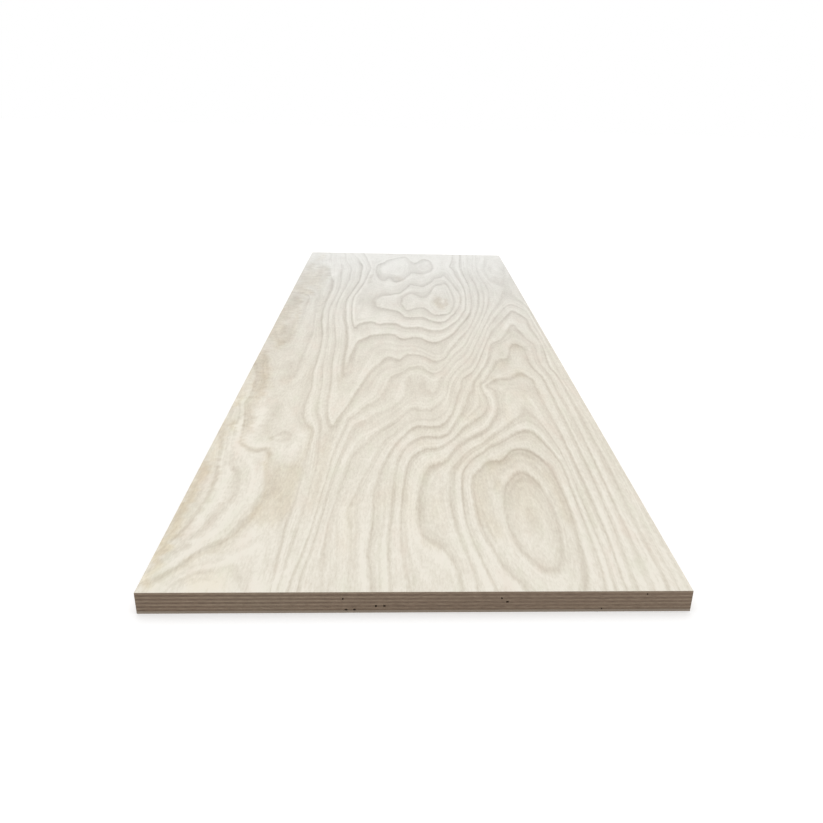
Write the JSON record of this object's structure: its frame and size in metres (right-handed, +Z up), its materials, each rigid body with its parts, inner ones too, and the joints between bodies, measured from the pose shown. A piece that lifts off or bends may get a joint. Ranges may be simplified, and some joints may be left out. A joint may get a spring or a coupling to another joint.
{
  "type": "plywood sheet",
  "caption": "Flat rectangular plywood board: crossed core plies bonded between two thin pale face veneers, with square sawn edges.",
  "frame": {"origin": "middle of the underside, at the centre of the sheet's plan", "axes": "+Z up through the thickness, +Y along the length and the face grain, +X across the width; the near sawn end with the core gaps faces -Y"},
  "size_m": [0.4, 1.2, 0.018],
  "materials": {
    "face_wood": "sanded smooth, pale rotary-cut veneer with fine growth-ring figure along the length",
    "back_wood": "sanded smooth, plainer pale veneer, grain along the length",
    "crossband_wood": "sawn ply edge, grain across the sheet",
    "long_ply_wood": "sawn ply edge, grain along the sheet"
  },
  "bodies": {
    "root": {"face_veneer": "face_wood", "crossband_1": "crossband_wood", "long_ply_1": "long_ply_wood", "crossband_2": "crossband_wood", "long_ply_2": "long_ply_wood", "crossband_3": "crossband_wood", "long_ply_3": "long_ply_wood", "crossband_4": "crossband_wood", "long_ply_4": "long_ply_wood", "crossband_5": "crossband_wood", "long_ply_5": "long_ply_wood", "crossband_6": "crossband_wood", "back_veneer": "back_wood"}
  },
  "joints": []
}
